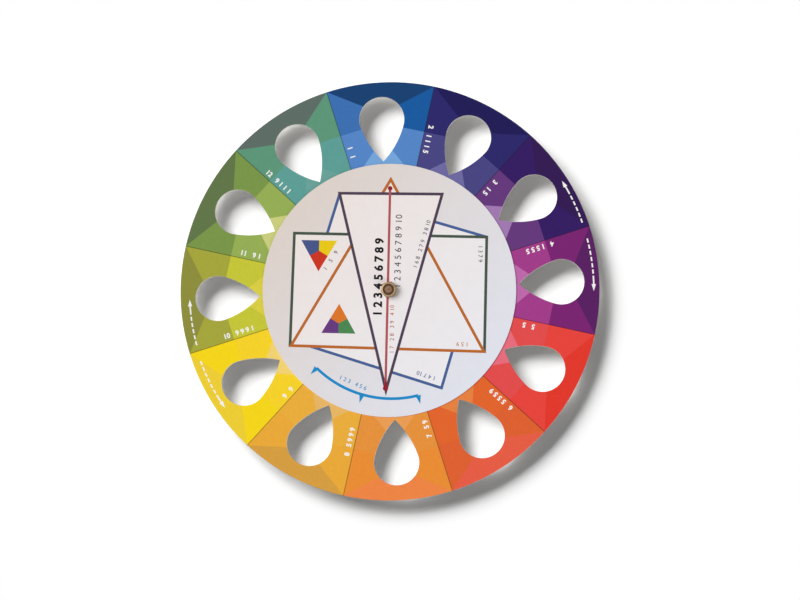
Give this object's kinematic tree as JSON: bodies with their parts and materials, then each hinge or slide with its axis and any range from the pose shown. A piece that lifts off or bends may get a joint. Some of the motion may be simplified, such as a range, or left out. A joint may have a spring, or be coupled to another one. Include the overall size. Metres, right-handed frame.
{
  "type": "colour mixing wheel",
  "caption": "Flat round hue wheel with drop-shaped windows and a smaller card dial that turns on a screw and nut at its centre to pick colour schemes.",
  "frame": {"origin": "on the wheel's axis, at the flat of the screw's head that the wheel lies on", "axes": "+Z along the screw, out of the printed face; +Y through the middle of the blue field"},
  "size_m": [0.2, 0.2, 0.0094],
  "materials": {
    "ink_blue": "satin coated print",
    "ink_blue_violet": "satin coated print",
    "ink_violet": "satin coated print",
    "ink_red_violet": "satin coated print",
    "ink_red": "satin coated print",
    "ink_red_orange": "satin coated print",
    "ink_orange": "satin coated print",
    "ink_yellow_orange": "satin coated print",
    "ink_yellow": "satin coated print",
    "ink_yellow_green": "satin coated print",
    "ink_green": "satin coated print",
    "ink_blue_green": "satin coated print",
    "card_core": "matt white pulp board",
    "liner_paper": "matt white paper",
    "dial_paper": "satin coated print",
    "brass": "turned, dulled by age",
    "fibre": "smooth pressed fibre"
  },
  "bodies": {
    "wheel": {"field_blue": "ink_blue", "field_blue_violet": "ink_blue_violet", "field_violet": "ink_violet", "field_red_violet": "ink_red_violet", "field_red": "ink_red", "field_red_orange": "ink_red_orange", "field_orange": "ink_orange", "field_yellow_orange": "ink_yellow_orange", "field_yellow": "ink_yellow", "field_yellow_green": "ink_yellow_green", "field_green": "ink_green", "field_blue_green": "ink_blue_green", "wheel_core": "card_core", "wheel_back_liner": "liner_paper", "pivot_screw": "brass", "back_washer": "brass", "slip_washer": "fibre", "pivot_bush": "brass", "hex_nut": "brass"},
    "dial": {"dial_print": "dial_paper", "dial_core": "card_core", "dial_back_liner": "liner_paper"}
  },
  "joints": [
    {"name": "dial_spin", "type": "hinge", "parent": "wheel", "child": "dial", "pos_m": [0, 0, 0.0055], "axis": [0, 0, 1], "continuous": true}
  ]
}
